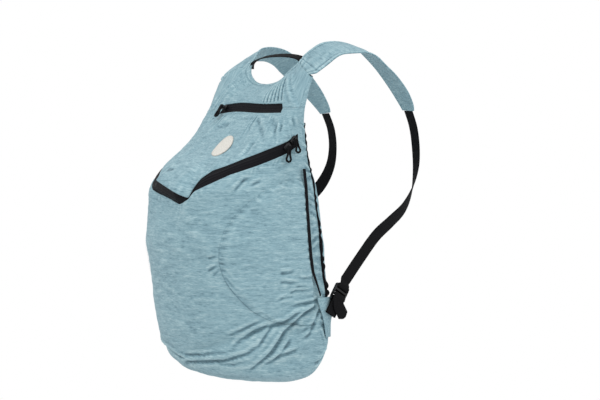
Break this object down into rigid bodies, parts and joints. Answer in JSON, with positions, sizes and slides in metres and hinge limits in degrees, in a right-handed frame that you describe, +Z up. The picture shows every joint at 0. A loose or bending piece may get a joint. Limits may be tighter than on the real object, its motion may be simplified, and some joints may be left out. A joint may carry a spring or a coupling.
{
  "type": "foldable daypack",
  "caption": "Light fold-away daypack in its worn shape, with a beaked lid, U-shaped main zip, yoke straps and under-arm webbing",
  "frame": {"origin": "midway between the two shoulder straps, where they cross the wearer's shoulders", "axes": "+X to the wearer's right, +Y the way the wearer faces, +Z up"},
  "size_m": [0.3312, 0.4399, 0.5471],
  "materials": {
    "shell_cloth": "satin",
    "zip_tape": "matte",
    "webbing_black": "matte",
    "binding_tape": "matte",
    "pull_cord": "matte",
    "patch_cloth": "matte",
    "black_plastic": "satin"
  },
  "bodies": {
    "root": {"anchor_loop_left": "webbing_black", "anchor_loop_right": "webbing_black", "back_binding_left": "binding_tape", "back_binding_right": "binding_tape", "back_panel": "shell_cloth", "body_panel": "shell_cloth", "haul_loop": "webbing_black", "ladder_lock_left": "black_plastic", "ladder_lock_right": "black_plastic", "lid_panel": "shell_cloth", "main_pull_a": "pull_cord", "main_pull_b": "pull_cord", "main_slider_a": "black_plastic", "main_slider_b": "black_plastic", "main_zip_tape": "zip_tape", "patch": "patch_cloth", "pocket_tape_left": "binding_tape", "pocket_tape_right": "binding_tape", "shoulder_strap_left": "shell_cloth", "shoulder_strap_right": "shell_cloth", "side_pocket_left": "shell_cloth", "side_pocket_right": "shell_cloth", "top_pull": "pull_cord", "top_slider": "black_plastic", "top_zip_tape": "zip_tape", "webbing_left": "webbing_black", "webbing_right": "webbing_black", "wing_left": "shell_cloth", "wing_right": "shell_cloth", "yoke": "shell_cloth"}
  },
  "joints": []
}
